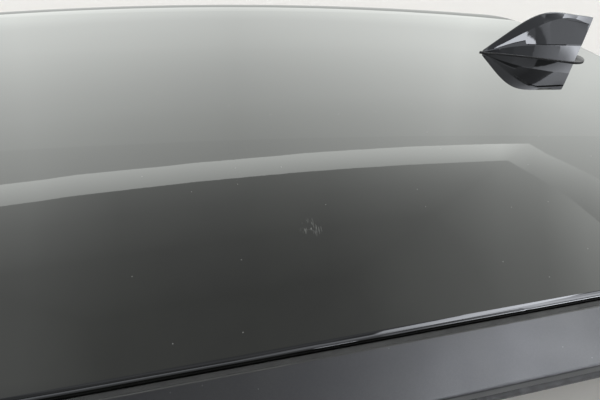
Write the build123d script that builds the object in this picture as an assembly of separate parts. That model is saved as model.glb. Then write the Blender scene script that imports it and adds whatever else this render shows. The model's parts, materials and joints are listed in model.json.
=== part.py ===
from build123d import *
import math
import os

# Roof assembly of a compact crossover, cut off at its pillars.
# X runs to the rear, Y to the car's right and Z up. The pillars are cut at Z = 0, and the
# origin lies in that plane, on the centre line, below the highest point of the roof.

# Roof surface: a cross section of three arcs, carried along one long arc
apex_height = 230.0
crown_radius = 8660.0
cross_radius = 4400.0
shoulder_start = 290.0
shoulder_radius = 1060.0
cross_reach = 700.0
space_turn = 16.0
space_drop = 400.0

# Outline of the skin from above: four wide arcs
front_x = -750.0
front_radius = 2200.0
rear_x = 896.0
rear_radius = 4720.0
widest_x = -875.0
widest_half = 590.0
plan_radius = 12300.0
corner_radius = 20.0

# Pressed sheet of the skin, with flanges to the windscreen, the ditches and the gutter
skin_sheet = 0.8
edge_radius = 6.0
skin_depth = 14.0
windscreen_flange = 20.0
ditch_flange = 5.1
rear_flange = 8.0

# Clearances between pieces that are welded or bonded, and slack for cutting shapes
seat_gap = 0.1
cut_margin = 1.0
surface_tolerance = 0.01
seam_tolerance = 0.5

# Ditch moulding
moulding_gap = 0.4
moulding_drop = 3.0
moulding_lip = 1.2

# Outer side rail: ditch, painted cantrail, door aperture and pinch flange
rail_sheet = 1.0
rail_front_x = -668.0
rail_rear_x = 900.0
rail_station_count = 5
rail_corner = 3.0
ditch_corner = 0.9
ditch_width = 6.5
ditch_overlap = 1.0
cantrail_corner = 1.5
cantrail_step = 2.0
cantrail_width = 41.0
cantrail_fall = 19.5
cantrail_tuck = 3.0
aperture_return = 15.0
aperture_step = 21.0
aperture_slope = 3.0
aperture_fall = 24.0
pinch_height = 14.0
pinch_offset = 20.0

# Inner side rail: shelf for the cross members, box wall with openings, and floor
rail_seat_gap = 0.3
inner_flange_setback = 3.0
inner_flange_overlap = 2.0
shelf_depth = 30.0
shelf_start = 10.0
shelf_width = 30.0
shelf_return = 8.0
rail_inner_reach = 44.0
rail_wall_lean = 14.0
rail_floor_lift = 2.0
rail_hole_length = 50.0
rail_hole_height = 11.0
rail_hole_places = (-480.0, -190.0, 190.0, 480.0)

# Cross members under the skin
bow_sheet = 0.9
bow_places = {"front": -360.0, "centre": 10.0, "rear": 370.0}
bow_top_width = 46.0
bow_wall_run = 9.0
bow_flange = 12.0
bow_seat_gap = 0.2
bow_slot_length = 70.0
bow_slot_width = 14.0
bow_slot_gap = 40.0
bow_slot_count = 7
mastic_gap = 3.0
mastic_width = 9.0
header_sheet = 1.0
header_length = 78.0
header_flange = 14.0
header_setback = 2.0
rear_header_length = 92.0
header_slot_length = 80.0
header_slot_width = 24.0
header_slot_places = (-330.0, -200.0, 200.0, 330.0)
lamp_opening_length = 170.0
lamp_opening_width = 46.0
lamp_opening_corner = 8.0
rear_slot_places = (-330.0, -165.0, 0.0, 165.0, 330.0)

# Gutter behind the skin, which carries the hinges and the tailgate seal
gutter_sheet = 1.0
gutter_depth = 37.0
gutter_floor = 44.0
gutter_setback = 1.0

# Pillar stubs: place, length and width of the tube, and its direction
pillar_sheet = 1.2
pillar_corner = 9.0
pillar_clearance = 5.4
pillar_overlap = 20.0
pillar_run = 500.0
pillar_a_direction = (-1.0, 0.12, -0.62)
pillar_b_x = 0.0
pillar_b_length = 96.0
pillar_b_width = 40.0
pillar_b_direction = (0.0, 0.3, -1.0)
pillar_c_x = 800.0
pillar_c_length = 110.0
pillar_c_width = 40.0
pillar_c_direction = (0.45, 0.25, -1.0)

# Seals: a gripping channel with a bulb
seal_leg = 1.8
seal_corner = 1.4
seal_grip = 11.0
seal_bulb = 5.0
seal_bulb_overlap = 1.5
seal_clearance = 0.3
seal_front_start = 10.0
seal_pillar_gap = 60.0
seal_rear_end = 90.0
tailgate_seal_reach = 11.1

# Tailgate hinges
hinge_y = 265.0
hinge_back = 27.0
hinge_drop = 24.0
hinge_pin_radius = 3.5
hinge_pin_head = 1.5
hinge_running = 0.05
hinge_barrel_radius = 6.5
hinge_leaf_width = 26.0
hinge_ear = 4.0
hinge_side_gap = 0.4
hinge_plate = 4.0
hinge_base_width = 62.0
hinge_base_front = 22.0
hinge_base_back = 1.5
hinge_base_depth = 8.0
hinge_base_corner = 3.0
hinge_strap_reach = 30.0
hinge_strap_bend = 6.0
leaf_bolt_radius = 4.2
leaf_bolt_spacing = 30.0
leaf_plate_width = 52.0
leaf_plate_height = 26.0
leaf_plate_corner = 5.0

# Antenna on the centre line: its nose, and the hole in the skin behind it
antenna_nose_x = 656.0
antenna_hole_offset = 88.0
antenna_hole_radius = 9.0
gasket_height = 1.6
gasket_lip = 1.2
gasket_nose = 8.0
gasket_nose_radius = 1.0
gasket_tail = 35.0
gasket_edge_radius = 0.6
gasket_bore_gap = 1.0
cover_tip = 178.0
cover_tip_radius = 6.0
cover_corner_place = 150.0
ridge_radius = 0.8
waist_radius = 8.0
brow_radius = 0.8
crest_radius = 1.6
recess_depth = 2.6
stud_radius = 5.0
stud_length = 30.0
nut_radius = 12.0
nut_height = 6.0
nut_face = 1.2
nut_across = 19.0

# Sections of the fin, in order from its nose. Each has its place behind the nose, then the
# half width and height of each line along the flank: base, ridge, waist, brow and crest,
# and last the share of the rounding radii that the section has room for.
cover_columns = (
    "place", "base", "ridge", "ridge_height", "waist", "waist_height", "brow", "brow_height",
    "crest", "crest_height", "rounding",
)
cover_table = (
    (0.0, 2.6, 2.5, 2.5, 2.2, 3.1, 1.9, 3.8, 0.7, 4.8, 0.15),
    (26.0, 5.1, 4.4, 8.6, 3.5, 11.4, 3.1, 15.0, 1.1, 28.2, 0.55),
    (56.0, 10.4, 8.1, 15.6, 6.0, 22.4, 4.8, 34.8, 1.6, 53.5, 0.9),
    (86.0, 17.2, 12.3, 19.6, 8.8, 28.4, 5.9, 52.2, 2.0, 68.7, 1.0),
    (118.0, 26.0, 16.9, 21.7, 11.4, 31.0, 6.0, 63.8, 2.2, 71.5, 1.0),
    (150.0, 33.0, 20.3, 23.4, 12.6, 32.5, 5.8, 62.4, 2.2, 69.2, 1.0),
    (180.0, 36.0, 22.0, 25.0, 13.4, 34.0, 5.4, 57.5, 1.8, 66.4, 1.0),
)
cover_rows = [dict(zip(cover_columns, row)) for row in cover_table]

# Outline of the hollow in each flank, seen from the side: place behind the nose, height
# and rounding of each corner. It runs out through the tail.
recess_outline = (
    (190.0, 26.2, 0.0), (120.0, 22.4, 30.0), (68.0, 18.8, 3.5), (63.5, 30.5, 5.0),
    (67.5, 39.5, 4.0), (106.0, 58.3, 14.0), (122.0, 62.4, 14.0), (190.0, 55.5, 0.0),
)


def arc_drop(radius, distance):
    """How far an arc has fallen at a distance from its highest point."""
    return radius - math.sqrt(radius ** 2 - distance ** 2)


shoulder_angle = math.asin(shoulder_start / cross_radius)
shoulder_centre_y = (cross_radius - shoulder_radius) * math.sin(shoulder_angle)
shoulder_centre_z = (
    apex_height - cross_radius + (cross_radius - shoulder_radius) * math.cos(shoulder_angle)
)
reach_angle = math.asin((cross_reach - shoulder_centre_y) / shoulder_radius)
crown_centre_z = apex_height - crown_radius
prism_height = 2 * apex_height


def cross_height(y, depth=0.0):
    """Height of the cross section on the middle plane, at a depth below the skin's outside."""
    if abs(y) <= (cross_radius - depth) * math.sin(shoulder_angle):
        return apex_height - cross_radius + math.sqrt((cross_radius - depth) ** 2 - y ** 2)
    run = abs(y) - shoulder_centre_y
    return shoulder_centre_z + math.sqrt((shoulder_radius - depth) ** 2 - run ** 2)


def roof_height(x, y, depth=0.0):
    """Height of the roof surface, or of a layer at a depth below it."""
    radius = cross_height(y, depth) - crown_centre_z
    return crown_centre_z + math.sqrt(radius ** 2 - x ** 2)


def side_edge(x):
    """Half width of the skin."""
    return widest_half - arc_drop(plan_radius, x - widest_x)


def rear_edge(y):
    """Place of the skin's rear edge."""
    return rear_x - arc_drop(rear_radius, y)


def crown_point(depth, angle):
    """Point of the middle arc of the cross section."""
    radius = cross_radius - depth
    return Vector(0, radius * math.sin(angle), apex_height - cross_radius + radius * math.cos(angle))


def shoulder_point(depth, angle, side):
    """Point of a shoulder arc of the cross section, on the right or left side."""
    radius = shoulder_radius - depth
    y = shoulder_centre_y + radius * math.sin(angle)
    return Vector(0, side * y, shoulder_centre_z + radius * math.cos(angle))


def cross_line(depth):
    """The three arcs of the cross section at a depth below the skin's outside."""
    middle = (shoulder_angle + reach_angle) / 2
    arcs = [
        Edge.make_three_point_arc(
            crown_point(depth, -shoulder_angle),
            crown_point(depth, 0),
            crown_point(depth, shoulder_angle),
        )
    ]
    for side in (-1, 1):
        arcs.append(
            Edge.make_three_point_arc(
                shoulder_point(depth, shoulder_angle, side),
                shoulder_point(depth, middle, side),
                shoulder_point(depth, reach_angle, side),
            )
        )
    return arcs


def under_roof(depth):
    """The space below the roof surface at a depth, wider and longer than the roof."""
    left, right = [shoulder_point(depth, reach_angle, side) for side in (-1, 1)]
    low_left, low_right = [Vector(0, end.Y, -space_drop) for end in (left, right)]
    walls = Wire.make_polygon([left, low_left, low_right, right], close=False).edges()
    face = Face(Wire(cross_line(depth) + walls))
    axis = Axis((0, 0, crown_centre_z), (0, 1, 0))
    return revolve(face.rotate(axis, -space_turn / 2), axis, space_turn)


def roof_band(shape, high, low):
    """The part of a shape between two depths below the roof surface."""
    return (shape - under_roof(low)) & under_roof(high)


def front_disc(inset):
    """Disc whose front arc is the skin's front edge, moved back by an inset."""
    return Pos(front_x + front_radius, 0) * Circle(front_radius - inset)


def rear_disc(inset):
    """Disc whose rear arc is the skin's rear edge, moved forwards by an inset."""
    return Pos(rear_x - rear_radius, 0) * Circle(rear_radius - inset)


def side_discs(inset):
    """The two side arcs of the skin, moved inwards by an inset."""
    offset_y = plan_radius - widest_half
    disc = Circle(plan_radius - inset)
    return (Pos(widest_x, offset_y) * disc) & (Pos(widest_x, -offset_y) * disc)


def plan(front, rear, side, corner=0.0):
    """Outline from above, moved inwards from the skin's edge by an inset on each side."""
    outline = front_disc(front) & rear_disc(rear) & side_discs(side)
    if corner:
        outline = fillet(outline.vertices(), corner)
    return outline


def prism(outline):
    """Block that rises from a plan outline to well above the roof."""
    return extrude(outline, prism_height, dir=(0, 0, 1))


def rim_edges(body, depth):
    """Edges of a body where its walls meet the roof surface at a depth."""
    seam = (cross_radius - depth) * math.sin(shoulder_angle)
    rim = []
    for edge in body.edges():
        points = [edge @ place for place in (0, 0.5, 1)]
        on_surface = all(
            abs(p.Z - roof_height(p.X, p.Y, depth)) < surface_tolerance for p in points
        )
        on_seam = all(abs(abs(p.Y) - seam) < seam_tolerance for p in points)
        if on_surface and not on_seam:
            rim.append(edge)
    return rim


def make_skin():
    """Roof skin: a pressed pan with rounded edges, open below, with flanges all round."""
    outer = prism(plan(0, 0, 0, corner_radius)) & under_roof(0)
    outer = fillet(rim_edges(outer, 0), edge_radius)
    inside = plan(skin_sheet, skin_sheet, skin_sheet, corner_radius - skin_sheet)
    hollow = prism(inside) & under_roof(skin_sheet)
    hollow = fillet(rim_edges(hollow, skin_sheet), edge_radius - skin_sheet)
    pan = outer - hollow - under_roof(skin_depth)
    brim = plan(-windscreen_flange, -rear_flange, -ditch_flange, corner_radius) - inside
    flange = roof_band(prism(brim), skin_depth - skin_sheet, skin_depth)
    hole = antenna_place() * Cylinder(antenna_hole_radius, 4 * skin_depth)
    return pan + flange - hole


def section_plane(x):
    """Plane across the roof at a place along it, with Y to the right and Z up."""
    return Plane(origin=(x, 0, 0), x_dir=(0, 1, 0), z_dir=(1, 0, 0))


def shifted(points, distance):
    """A bent line moved sideways, to its left where the distance is positive."""
    steps = [Vector(*b) - Vector(*a) for a, b in zip(points, points[1:])]
    lefts = [Vector(-step.Y, step.X).normalized() for step in steps]
    joined = [lefts[0]]
    for before, after in zip(lefts, lefts[1:]):
        joined.append((before + after) / (1 + before.dot(after)))
    joined.append(lefts[-1])
    return [Vector(*point) + left * distance for point, left in zip(points, joined)]


def left_turns(points):
    """For each bend of a line, 1 where it turns to the left and -1 where it turns to the right."""
    steps = [Vector(*b) - Vector(*a) for a, b in zip(points, points[1:])]
    return [
        math.copysign(1, before.X * after.Y - before.Y * after.X)
        for before, after in zip(steps, steps[1:])
    ]


def sheet_face(points, radii, sheet):
    """Closed outline of a bent sheet, thick to the left of its line where sheet is positive."""
    near = FilletPolyline(*points, radius=radii)
    far_points = shifted(points, sheet)
    far_radii = [radius - turn * sheet for radius, turn in zip(radii, left_turns(points))]
    far = FilletPolyline(*far_points, radius=far_radii)
    ends = [Line(points[0], far_points[0]), Line(points[-1], far_points[-1])]
    return Face(Wire(near.edges() + far.edges() + [end.edge() for end in ends]))


def closed_face(points, radii):
    """Face inside a line that is rounded at each inner corner and closed by a straight side."""
    line = FilletPolyline(*points, radius=radii)
    return Face(Wire(line.edges() + [Line(points[-1], points[0]).edge()]))


def stations(first, last, count=rail_station_count):
    """Evenly spaced places from the first to the last."""
    return [first + (last - first) * step / (count - 1) for step in range(count)]


def lofted(section, first, last, count=rail_station_count):
    """Body through the sections at evenly spaced places along the roof."""
    return loft([section(x) for x in stations(first, last, count)])


def edge_slope(x):
    """Fall of the roof per millimetre outwards, at the skin's side edge."""
    edge = side_edge(x)
    return roof_height(x, edge - 1) - roof_height(x, edge)


def ditch_floor(x, outwards):
    """Height of the ditch floor under the skin's flange, at a distance outside the skin."""
    return roof_height(x, side_edge(x) + outwards, skin_depth) - 2 * seat_gap


def cantrail_points(x):
    """Outer line of the painted rail, from the ditch floor to the foot of the pinch flange."""
    edge = side_edge(x)
    top = roof_height(x, edge) - cantrail_step
    wall = edge + ditch_width
    outer = wall + cantrail_width
    lip = top - cantrail_fall - aperture_return
    seal_line = edge + pinch_offset
    floor = lip - aperture_slope - aperture_fall
    return [
        (edge - ditch_overlap, ditch_floor(x, -ditch_overlap)),
        (wall, ditch_floor(x, ditch_width)),
        (wall, top),
        (outer, top - cantrail_fall),
        (outer - cantrail_tuck, lip),
        (outer - cantrail_tuck - aperture_step, lip - aperture_slope),
        (seal_line, floor),
        (seal_line, floor - pinch_height),
    ]


outer_radii = [ditch_corner, cantrail_corner] + [rail_corner] * 4


def cantrail_section(x):
    """Section of the outer side rail."""
    return section_plane(x) * sheet_face(cantrail_points(x), outer_radii, -rail_sheet)


def rail_floor(x):
    """Height of the top of the pinch flange, where the box's floor meets it."""
    return cantrail_points(x)[-2][1]


def pinch_line(x):
    """Place of the inner panel's own face on the pinch flange, two sheets inside its outside."""
    return side_edge(x) + pinch_offset - 2 * rail_sheet - rail_seat_gap


def inner_rail_points(x):
    """Line of the inner panel, from its ditch flange to the foot of its pinch flange."""
    edge = side_edge(x)
    under = (rail_sheet + rail_seat_gap) * math.hypot(1, edge_slope(x))
    start = ditch_width - inner_flange_setback
    shelf_outer = edge - shelf_start
    shelf_inner = shelf_outer - shelf_width
    wall = edge - rail_inner_reach
    pinch = pinch_line(x)
    floor = rail_floor(x)
    return [
        (edge + start, ditch_floor(x, start) - under),
        (edge - inner_flange_overlap, ditch_floor(x, -inner_flange_overlap) - under),
        (shelf_outer, roof_height(x, shelf_outer, shelf_depth)),
        (shelf_inner, roof_height(x, shelf_inner, shelf_depth)),
        (wall, roof_height(x, edge, shelf_depth) - shelf_return),
        (wall + rail_wall_lean, floor + rail_floor_lift),
        (pinch, floor),
        (pinch, floor - pinch_height),
    ]


def inner_rail_section(x):
    """Section of the inner side rail."""
    return section_plane(x) * sheet_face(inner_rail_points(x), [rail_corner] * 6, rail_sheet)


def rail_hole(x):
    """Cutter for an oval opening in the box wall of the inner rail."""
    high, low = inner_rail_points(x)[4:6]
    middle = Pos(x, (high[0] + low[0]) / 2, (high[1] + low[1]) / 2)
    return middle * Rot(90, 0, 0) * extrude(
        SlotOverall(rail_hole_length, rail_hole_height), rail_wall_lean, both=True
    )


def make_inner_rail():
    """Inner side rail with its openings for the trim and the airbag's fasteners."""
    rail = lofted(inner_rail_section, rail_front_x, rail_rear_x - seat_gap)
    for x in rail_hole_places:
        rail = rail - rail_hole(x)
    return rail


def box_face(x):
    """The rail's whole closed box at a place along it, without the pinch flange."""
    inner = inner_rail_points(x)
    points = cantrail_points(x)[:-1] + inner[5:1:-1]
    return section_plane(x) * closed_face(points, outer_radii + [rail_corner] * 3)


def make_outer_rail():
    """Outer side rail, closed at its rear end by a plate."""
    rail = lofted(cantrail_section, rail_front_x, rail_rear_x)
    return rail + extrude(box_face(rail_rear_x), rail_sheet, dir=(1, 0, 0))


def moulding_section(x):
    """Rubber moulding that fills the ditch between the skin and the painted rail."""
    edge = side_edge(x)
    low = roof_height(x, edge, skin_depth - skin_sheet) + seat_gap
    high = roof_height(x, edge) - cantrail_step - moulding_drop
    inner = edge + moulding_gap
    outer = edge + ditch_width - moulding_gap
    fall = edge_slope(x) * (outer - inner)
    points = [(inner, low), (outer, low - fall), (outer, high - fall / 2), (inner, high)]
    face = Face(Polyline(*points, close=True).wire())
    return section_plane(x) * fillet(face.vertices()[2:], moulding_lip)


def both_sides(name, right):
    """The right piece and its mirror image on the left."""
    return {name + "_right": right, name + "_left": mirror(right, Plane.XZ)}


def strip(x, width, reach):
    """Straight band across the roof from above."""
    return Pos(x, 0) * Rectangle(width, 2 * reach)


def tapered(x, top_width, run, reach):
    """Wedge-sided block across the roof, wider at the foot, for a hat section."""
    high = roof_height(x, 0) + cut_margin
    low = roof_height(x, widest_half) - 2 * shelf_depth
    foot = top_width / 2 + run / shelf_depth * (high - low)
    section = [
        (x - foot, low),
        (x + foot, low),
        (x + top_width / 2, high),
        (x - top_width / 2, high),
    ]
    face = Plane.XZ * Face(Polyline(*section, close=True).wire())
    return extrude(face, reach, both=True)


def bow_slots(x):
    """Lightening slots along the top of a bow."""
    slot = Rot(0, 0, 90) * SlotOverall(bow_slot_length, bow_slot_width)
    places = GridLocations(1, bow_slot_length + bow_slot_gap, 1, bow_slot_count)
    return Sketch() + [Pos(x, 0) * place * slot for place in places]


def make_bow(x):
    """Roof bow: a hat section that follows the skin and rests on the rails' shelves."""
    reach = side_edge(x) - shelf_start - bow_flange / 2
    low = shelf_depth - bow_seat_gap
    top = mastic_gap + skin_sheet
    inner_width = bow_top_width - 2 * bow_sheet
    outer = roof_band(tapered(x, bow_top_width, bow_wall_run, reach), top, low)
    hollow = tapered(x, inner_width, bow_wall_run, reach + cut_margin)
    inner = roof_band(hollow, top + bow_sheet, low + cut_margin)
    foot = strip(x, bow_top_width + 2 * (bow_wall_run + bow_flange), reach) - strip(
        x, inner_width + 2 * bow_wall_run, reach + cut_margin
    )
    flange = roof_band(prism(foot), low - bow_sheet, low)
    return outer - inner + flange - prism(bow_slots(x))


def make_mastic(x):
    """Two soft beads between a bow and the skin."""
    beads = Sketch() + [
        strip(x + side * (bow_top_width / 2 - mastic_width), mastic_width, shoulder_start)
        for side in (-1, 1)
    ]
    return roof_band(prism(beads), skin_sheet + seat_gap, skin_sheet + mastic_gap - seat_gap)


def along_edge(y, back, radius, direction):
    """Place on an arc parallel to the front or rear edge, turned with the arc."""
    edge = front_x if direction > 0 else rear_x
    x = edge + direction * (back + arc_drop(radius, y))
    return Pos(x, y) * Rot(0, 0, 90 - direction * math.degrees(math.asin(y / radius)))


def header_slots(places, back, radius, direction):
    """Oval openings along a header's floor."""
    slot = SlotOverall(header_slot_length, header_slot_width)
    return Sketch() + [along_edge(y, back, radius, direction) * slot for y in places]


def make_front_header():
    """Front header: a channel behind the windscreen flange, closed above by the skin."""
    side = shelf_start + bow_flange / 2
    top = skin_depth + seat_gap
    low = shelf_depth - seat_gap
    wall = header_setback + header_sheet
    back = header_length - header_sheet
    channel = plan(header_setback, 0, side) - front_disc(header_length)
    outer = roof_band(prism(channel), top, low)
    hollow = plan(wall, 0, side - cut_margin) - front_disc(back)
    inner = roof_band(prism(hollow), top - cut_margin, low - header_sheet)
    front_lip = plan(header_setback - windscreen_flange, 0, side) - front_disc(wall)
    front_flange = roof_band(prism(front_lip), top, top + header_sheet)
    back_lip = plan(back, 0, side) - front_disc(header_length + header_flange)
    back_flange = roof_band(prism(back_lip), top, top + header_sheet)
    middle = header_length / 2
    lamp = Pos(front_x + middle, 0) * RectangleRounded(
        lamp_opening_width, lamp_opening_length, lamp_opening_corner
    )
    slots = header_slots(header_slot_places, middle, front_radius, 1)
    return outer - inner + front_flange + back_flange - prism(lamp + slots)


def make_rear_header():
    """Rear header: a channel under the skin ahead of its rear edge, flanged to the gutter."""
    side = shelf_start + bow_flange / 2
    top = skin_depth + seat_gap
    low = shelf_depth - seat_gap
    wall = header_setback + header_sheet
    front = rear_header_length - header_sheet
    channel = plan(0, header_setback, side) - rear_disc(rear_header_length)
    outer = roof_band(prism(channel), top, low)
    hollow = plan(0, wall, side - cut_margin) - rear_disc(front)
    inner = roof_band(prism(hollow), top - cut_margin, low - header_sheet)
    lip = plan(0, front, side) - rear_disc(rear_header_length + header_flange)
    front_flange = roof_band(prism(lip), top, top + header_sheet)
    slots = header_slots(rear_slot_places, rear_header_length / 2, rear_radius, -1)
    return outer - inner + front_flange - prism(slots)


def make_gutter():
    """Gutter panel: hangs from the skin's rear flange and ends in the seal's flange."""
    side = rail_inner_reach + seal_clearance
    top = skin_depth + seat_gap
    front = rear_disc(gutter_sheet)
    shelf = prism(plan(0, gutter_setback - rear_flange, side) - front)
    upper = roof_band(shelf, top, top + gutter_sheet)
    wall = roof_band(prism(plan(0, 0, side) - front), top, gutter_depth)
    base = prism(plan(0, -gutter_floor, side) - front)
    floor = roof_band(base, gutter_depth - gutter_sheet, gutter_depth)
    return upper + wall + floor


def seal_section(x):
    """Door seal: a gripping channel on the pinch flange with a bulb outside it."""
    foot_y, foot_z = cantrail_points(x)[-1]
    inner = foot_y - 2 * rail_sheet - rail_seat_gap - seal_clearance - seal_leg
    outer = foot_y + seal_clearance + seal_leg
    low = foot_z - seal_clearance - seal_leg
    top = foot_z + seal_grip
    block = Pos((inner + outer) / 2, (top + low) / 2) * RectangleRounded(
        outer - inner, top - low, seal_corner
    )
    bulb = Pos(outer + seal_bulb - seal_bulb_overlap, (top + low) / 2) * Circle(seal_bulb)
    slot_height = top + cut_margin - low - seal_leg
    slot = Pos((inner + outer) / 2, top + cut_margin - slot_height / 2) * Rectangle(
        outer - inner - 2 * seal_leg, slot_height
    )
    return section_plane(x) * ((block + bulb) - slot).faces()[0]


def pillar_tube(outline, direction):
    """Hollow pillar stub run out from a section and trimmed at the cutting plane."""
    inside = offset(outline, -pillar_sheet)
    tube = extrude(outline - inside, pillar_run, dir=Vector(*direction).normalized())
    return split(tube, Plane.XY, keep=Keep.TOP)


def make_pillar_a():
    """Windscreen pillar: runs forwards and down from the front end of the rail's box."""
    return pillar_tube(box_face(rail_front_x - seat_gap), pillar_a_direction)


def make_pillar(x, length, width, direction):
    """Pillar stub that hangs below the rail's floor."""
    lean = Vector(*direction)
    outside = pinch_line(x) - pillar_clearance
    middle = Pos(
        x - pillar_overlap * lean.X,
        outside - width / 2 - pillar_overlap * lean.Y,
        rail_floor(x) + pillar_overlap,
    )
    turn = Rot(0, 0, -math.degrees(math.asin((x - widest_x) / plan_radius)))
    tube = pillar_tube(middle * turn * RectangleRounded(length, width, pillar_corner), direction)
    return tube - lofted(above_floor_section, x - length, x + length, 3)


def above_floor_section(x):
    """Space above the rail's floor, which trims the top of a pillar."""
    edge = side_edge(x)
    inner = edge - rail_inner_reach - pillar_overlap
    outer = edge + pinch_offset + pillar_overlap
    pinch = pinch_line(x)
    floor = rail_floor(x) - seat_gap
    slope = rail_floor_lift / (pinch - edge + rail_inner_reach - rail_wall_lean)
    points = [
        (inner, floor + slope * (pinch - inner)),
        (outer, floor + slope * (pinch - outer)),
        (outer, floor + 2 * shelf_depth),
        (inner, floor + 2 * shelf_depth),
    ]
    return section_plane(x) * Face(Polyline(*points, close=True).wire())


def antenna_place():
    """Where the antenna stands: on the centre line, square to the roof, at its hole."""
    x = antenna_nose_x + antenna_hole_offset
    angle = math.degrees(math.asin(x / crown_radius))
    return Pos(x, 0, roof_height(x, 0)) * Rot(0, angle, 0)


def cover_section(row):
    """Section of the fin: skirt, ridge, waist, brow and rounded crest, the same on both sides."""
    right = [(row["base"], gasket_height)]
    right += [(row[line], row[line + "_height"]) for line in ("ridge", "waist", "brow", "crest")]
    left = [(-y, z) for y, z in reversed(right)]
    rounding = [ridge_radius, waist_radius, brow_radius, crest_radius]
    radii = [row["rounding"] * radius for radius in rounding + rounding[::-1]]
    return section_plane(row["place"] - antenna_hole_offset) * closed_face(right + left, radii)


def flank_core_section(row):
    """Section inside the fin whose straight sides are the floors of the two hollows."""
    brow = row["brow"] - recess_depth
    waist = row["waist"] - recess_depth
    slope = (waist - brow) / (row["brow_height"] - row["waist_height"])
    foot = waist + slope * row["waist_height"]
    peak = row["crest_height"] + row["brow_height"]
    right = [(foot, 0), (brow, row["brow_height"]), (brow, peak)]
    left = [(-y, z) for y, z in reversed(right)]
    face = Face(Polyline(*(right + left), close=True).wire())
    return section_plane(row["place"] - antenna_hole_offset) * face


def antenna_side(points):
    """Plane of the fin's outline seen from the side, with its nose to the left."""
    return [(place - antenna_hole_offset, height) for place, height in points]


def cover_tail_cut():
    """Outline of the fin from above: a blunt arrow tail behind its widest place."""
    half = cover_rows[-1]["base"]
    corner = cover_rows[-2]["base"]
    slope = (cover_tip - cover_corner_place) / corner
    wide = 2 * half
    points = [
        (-cut_margin, -wide),
        (cover_tip - slope * wide, -wide),
        (cover_tip, 0),
        (cover_tip - slope * wide, wide),
        (-cut_margin, wide),
    ]
    face = Face(Polyline(*antenna_side(points), close=True).wire())
    tip = face.vertices().sort_by(Axis.X)[-1]
    return fillet(tip, cover_tip_radius)


def make_cover():
    """Fin: lofted along its length, cut to its tail and hollowed on both flanks."""
    body = loft([cover_section(row) for row in cover_rows])
    body = body & extrude(cover_tail_cut(), 2 * cover_rows[-1]["crest_height"], dir=(0, 0, 1))
    corners = [(place, height) for place, height, radius in recess_outline]
    radii = [radius for place, height, radius in recess_outline[1:-1]]
    window = Plane.XZ * closed_face(antenna_side(corners), radii)
    core = loft([flank_core_section(row) for row in cover_rows[2:]])
    hollows = extrude(window, cover_rows[-1]["base"], both=True) - core
    return antenna_place() * (body - hollows)


def gasket_outline():
    """Outline of the gasket from above: pointed nose, bowed sides and round tail."""
    sides = [(row["place"], row["base"] + gasket_lip) for row in cover_rows[:-1]]
    right = antenna_side(sides)
    nose = (-gasket_nose - antenna_hole_offset, 0)
    edges = []
    for side in (-1, 1):
        points = [(x, side * y) for x, y in right]
        edges.append(Line(nose, points[0]))
        edges.append(ThreePointArc(*points[0:3]))
        edges.append(ThreePointArc(*points[2:5]))
        edges.append(Line(*points[4:6]))
    last = right[-1]
    edges.append(ThreePointArc(last, (last[0] + gasket_tail, 0), (last[0], -last[1])))
    face = Face(Wire([edge.edge() for edge in edges]))
    return fillet(face.vertices().sort_by(Axis.X)[0], gasket_nose_radius)


def make_gasket():
    """Rubber pad between the antenna and the roof, shaped to the roof below."""
    pad = extrude(gasket_outline(), gasket_height - seat_gap)
    pad = fillet(pad.faces().sort_by(Axis.Z)[-1].edges(), gasket_edge_radius)
    pad = pad + extrude(gasket_outline(), -gasket_height)
    pad = pad - Cylinder(antenna_hole_radius - gasket_bore_gap, 4 * gasket_height)
    return antenna_place() * pad - under_roof(-seat_gap / 2)


def make_stud():
    """Threaded boss under the antenna, through the gasket and the skin."""
    top = gasket_height - 2 * seat_gap
    return antenna_place() * Pos(0, 0, top - stud_length / 2) * Cylinder(stud_radius, stud_length)


def make_nut():
    """Clamp nut: a hexagon with a round washer face against the underside of the skin."""
    face = extrude(Circle(nut_radius), nut_face)
    hexagon = extrude(RegularPolygon(nut_across / 2, 6, major_radius=False), nut_face - nut_height)
    ring = face + hexagon - Cylinder(stud_radius + seat_gap, 4 * nut_height)
    return antenna_place() * Pos(0, 0, -skin_sheet - seat_gap - nut_face) * ring


def hinge_point():
    """Centre of the right hinge pin."""
    x = rear_edge(hinge_y) + hinge_back
    return Vector(x, hinge_y, roof_height(x, hinge_y) - hinge_drop)


def pin_place():
    """The pin's axis, along Y."""
    return Pos(hinge_point()) * Rot(90, 0, 0)


def make_hinge_base():
    """Hinge base: a plate bolted to the gutter with two ears for the pin."""
    centre = hinge_point()
    plate_low = centre.Z - hinge_barrel_radius - hinge_side_gap - hinge_base_depth
    length = hinge_base_front + hinge_base_back
    middle = centre.X + (hinge_base_back - hinge_base_front) / 2
    plate = Pos(middle, hinge_y, plate_low + hinge_base_depth / 2) * Box(
        length, hinge_base_width, hinge_base_depth
    )
    plate = fillet(plate.edges().filter_by(Axis.Z), hinge_base_corner)
    body = plate
    for side in (-1, 1):
        y = hinge_y + side * (hinge_leaf_width / 2 + hinge_side_gap + hinge_ear / 2)
        column = Pos(centre.X, y, (centre.Z + plate_low) / 2) * Box(
            2 * hinge_barrel_radius, hinge_ear, centre.Z - plate_low
        )
        eye = Pos(centre.X, y, centre.Z) * Rot(90, 0, 0) * Cylinder(
            hinge_barrel_radius, hinge_ear
        )
        body = body + column + eye
    body = body - under_roof(gutter_depth - gutter_sheet - seat_gap)
    return body - pin_place() * Cylinder(hinge_pin_radius, hinge_base_width)


def make_hinge_pin():
    """Hinge pin with a head at each end."""
    length = hinge_leaf_width + 2 * (hinge_side_gap + hinge_ear)
    pin = Cylinder(hinge_pin_radius, length)
    head = Cylinder(hinge_pin_radius + hinge_pin_head, hinge_pin_head)
    for side in (-1, 1):
        pin = pin + Pos(0, 0, side * (length + hinge_pin_head) / 2) * head
    return pin_place() * pin


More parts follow.
